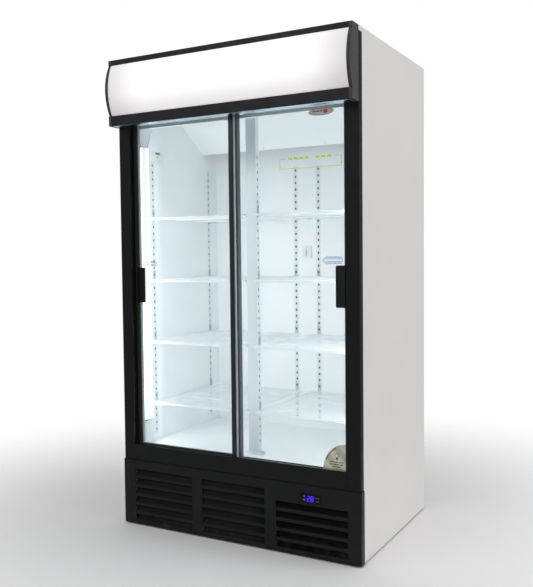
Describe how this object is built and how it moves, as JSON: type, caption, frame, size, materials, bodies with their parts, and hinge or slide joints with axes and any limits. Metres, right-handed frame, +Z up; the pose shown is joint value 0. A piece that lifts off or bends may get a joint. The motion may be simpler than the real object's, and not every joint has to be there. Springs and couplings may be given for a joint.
{
  "type": "glass door merchandiser",
  "caption": "Upright refrigerated display cabinet with overlapping sliding glass doors, wire shelves, a back-lit canopy, louvred kick panel and a small digital controller.",
  "frame": {"origin": "middle of the footprint on the floor, under the canopy and cabinet together", "axes": "+Z up, the doors face -Y, +X is to the right of a person facing the doors' front from outside, looking along +Y"},
  "size_m": [1.12, 0.86, 2],
  "materials": {
    "shell_enamel": "satin",
    "galvanised": "satin",
    "foot_steel": "satin",
    "foam": "matte",
    "liner_enamel": "gloss",
    "frame_black": "satin",
    "track_aluminium": "satin",
    "door_black": "satin",
    "door_glass": "gloss",
    "handle_black": "satin",
    "roller_nylon": "satin",
    "seal_brush": "matte",
    "pilaster_enamel": "satin",
    "shelf_wire": "gloss",
    "clip_steel": "satin",
    "white_plastic": "satin",
    "coil_aluminium": "satin",
    "fan_black": "satin",
    "motor_enamel": "satin",
    "lamp_lens": "satin",
    "cable_grey": "matte",
    "canopy_grey": "satin",
    "canopy_rail_aluminium": "satin",
    "canopy_diffuser": "satin",
    "led_strip": "satin",
    "kick_enamel": "satin",
    "controller_gloss": "gloss",
    "key_grey": "satin",
    "compressor_enamel": "gloss"
  },
  "bodies": {
    "cabinet": {"back_panel": "galvanised", "base_frame": "galvanised", "canopy_back": "galvanised", "canopy_diffuser": "canopy_diffuser", "canopy_end_caps": "canopy_grey", "canopy_led_strips": "led_strip", "canopy_rails": "canopy_rail_aluminium", "center_post": "pilaster_enamel", "compressor": "compressor_enamel", "condenser_coil": "coil_aluminium", "controller_housing": "controller_gloss", "door_tracks": "track_aluminium", "drain_pan": "white_plastic", "electrical_box": "white_plastic", "evaporator_coil": "coil_aluminium", "evaporator_cover": "liner_enamel", "fan_motors": "motor_enamel", "frame_head": "frame_black", "frame_sill": "frame_black", "frame_stile_left": "frame_black", "frame_stile_right": "frame_black", "inner_liner": "liner_enamel", "insulation": "foam", "kick_panel": "kick_enamel", "lamp_leads": "cable_grey", "lamp_lenses": "lamp_lens", "levelling_feet": "foot_steel", "pilasters": "pilaster_enamel", "rear_grille": "galvanised", "sensor_guard": "white_plastic", "shelf_clips": "clip_steel", "shelf_left_1": "shelf_wire", "shelf_left_2": "shelf_wire", "shelf_left_3": "shelf_wire", "shelf_left_4": "shelf_wire", "shelf_right_1": "shelf_wire", "shelf_right_2": "shelf_wire", "shelf_right_3": "shelf_wire", "shelf_right_4": "shelf_wire", "side_panel_left": "shell_enamel", "side_panel_right": "shell_enamel", "top_panel": "shell_enamel"},
    "door_right": {"door_right_frame": "door_black", "door_right_glass": "door_glass", "door_right_handle": "handle_black", "center_seal": "seal_brush"},
    "door_left": {"door_left_frame": "door_black", "door_left_glass": "door_glass", "door_left_handle": "handle_black"},
    "door_right_roller_a": {"door_right_roller_a": "roller_nylon"},
    "door_right_roller_b": {"door_right_roller_b": "roller_nylon"},
    "door_left_roller_a": {"door_left_roller_a": "roller_nylon"},
    "door_left_roller_b": {"door_left_roller_b": "roller_nylon"},
    "evaporator_fan_left": {"evaporator_fan_left": "fan_black"},
    "evaporator_fan_right": {"evaporator_fan_right": "fan_black"},
    "condenser_fan": {"condenser_fan": "fan_black"},
    "key_1": {"key_1": "key_grey"},
    "key_2": {"key_2": "key_grey"},
    "key_3": {"key_3": "key_grey"},
    "key_4": {"key_4": "key_grey"}
  },
  "joints": [
    {"name": "door_right_slide", "type": "slide", "parent": "cabinet", "child": "door_right", "axis": [1, 0, 0], "range_m": [-0.44, 0]},
    {"name": "door_right_roller_a_spin", "type": "hinge", "parent": "door_right", "child": "door_right_roller_a", "pos_m": [0.0615, -0.324, 0.3373], "axis": [0, 1, 0], "continuous": true},
    {"name": "door_right_roller_b_spin", "type": "hinge", "parent": "door_right", "child": "door_right_roller_b", "pos_m": [0.4415, -0.324, 0.3373], "axis": [0, 1, 0], "continuous": true},
    {"name": "door_left_slide", "type": "slide", "parent": "cabinet", "child": "door_left", "axis": [1, 0, 0], "range_m": [0, 0.44]},
    {"name": "door_left_roller_a_spin", "type": "hinge", "parent": "door_left", "child": "door_left_roller_a", "pos_m": [-0.43925, -0.29, 0.3373], "axis": [0, 1, 0], "continuous": true},
    {"name": "door_left_roller_b_spin", "type": "hinge", "parent": "door_left", "child": "door_left_roller_b", "pos_m": [-0.05925, -0.29, 0.3373], "axis": [0, 1, 0], "continuous": true},
    {"name": "evaporator_fan_left_spin", "type": "hinge", "parent": "cabinet", "child": "evaporator_fan_left", "pos_m": [-0.255, -0.02633, 1.86334], "axis": [0, 0.5359, 0.8443], "continuous": true},
    {"name": "evaporator_fan_right_spin", "type": "hinge", "parent": "cabinet", "child": "evaporator_fan_right", "pos_m": [0.255, -0.02633, 1.86334], "axis": [0, 0.5359, 0.8443], "continuous": true},
    {"name": "condenser_fan_spin", "type": "hinge", "parent": "cabinet", "child": "condenser_fan", "pos_m": [0.335, -0.227, 0.158], "axis": [0, 1, 0], "continuous": true},
    {"name": "key_1_press", "type": "slide", "parent": "cabinet", "child": "key_1", "axis": [0, 1, 0], "range_m": [0, 0.0006], "stiffness_N_per_m": 500, "springref_m": -0.0005},
    {"name": "key_2_press", "type": "slide", "parent": "cabinet", "child": "key_2", "axis": [0, 1, 0], "range_m": [0, 0.0006], "stiffness_N_per_m": 500, "springref_m": -0.0005},
    {"name": "key_3_press", "type": "slide", "parent": "cabinet", "child": "key_3", "axis": [0, 1, 0], "range_m": [0, 0.0006], "stiffness_N_per_m": 500, "springref_m": -0.0005},
    {"name": "key_4_press", "type": "slide", "parent": "cabinet", "child": "key_4", "axis": [0, 1, 0], "range_m": [0, 0.0006], "stiffness_N_per_m": 500, "springref_m": -0.0005}
  ],
  "couplings": [
    {"joint": "door_right_roller_a_spin", "follows": "door_right_slide", "rad_per_m": 125},
    {"joint": "door_right_roller_b_spin", "follows": "door_right_slide", "rad_per_m": 125},
    {"joint": "door_left_roller_a_spin", "follows": "door_left_slide", "rad_per_m": 125},
    {"joint": "door_left_roller_b_spin", "follows": "door_left_slide", "rad_per_m": 125}
  ]
}
